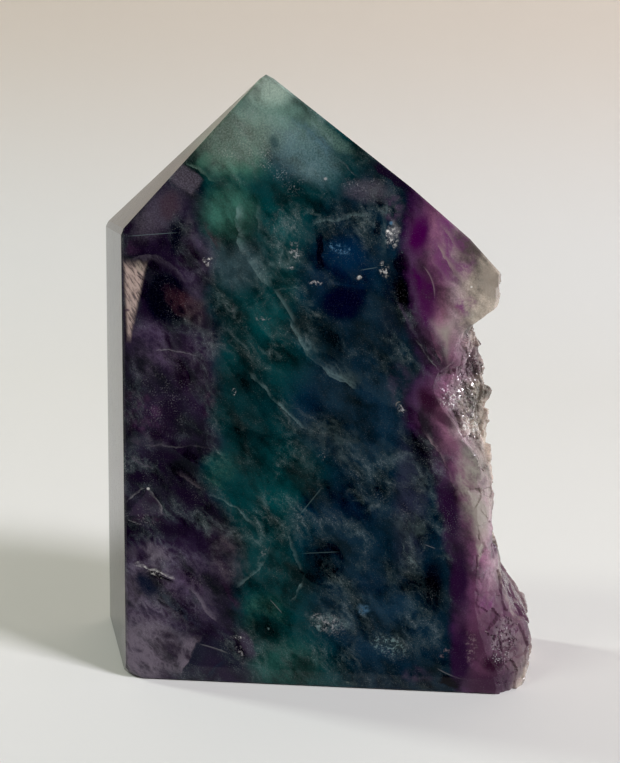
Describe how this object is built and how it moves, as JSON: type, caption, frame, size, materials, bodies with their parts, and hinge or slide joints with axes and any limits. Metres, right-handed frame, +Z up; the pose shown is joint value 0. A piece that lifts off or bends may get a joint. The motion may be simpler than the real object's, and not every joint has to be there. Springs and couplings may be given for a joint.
{
  "type": "fluorite slab obelisk",
  "caption": "Free-standing pointed slab of banded fluorite: polished faces and point, natural broken rock down one side, stands on its flat sawn base.",
  "frame": {"origin": "middle of the bounding box's footprint, on the flat base", "axes": "+Z up to the point, -Y out of the polished front face, +X towards the broken side"},
  "size_m": [0.0938, 0.0304, 0.1196],
  "materials": {
    "fluorite": "banded purple, green and blue fluorite; glassy polish on the sawn faces, natural glassy break on one side"
  },
  "bodies": {
    "root": {"fluorite_slab": "fluorite"}
  },
  "joints": []
}
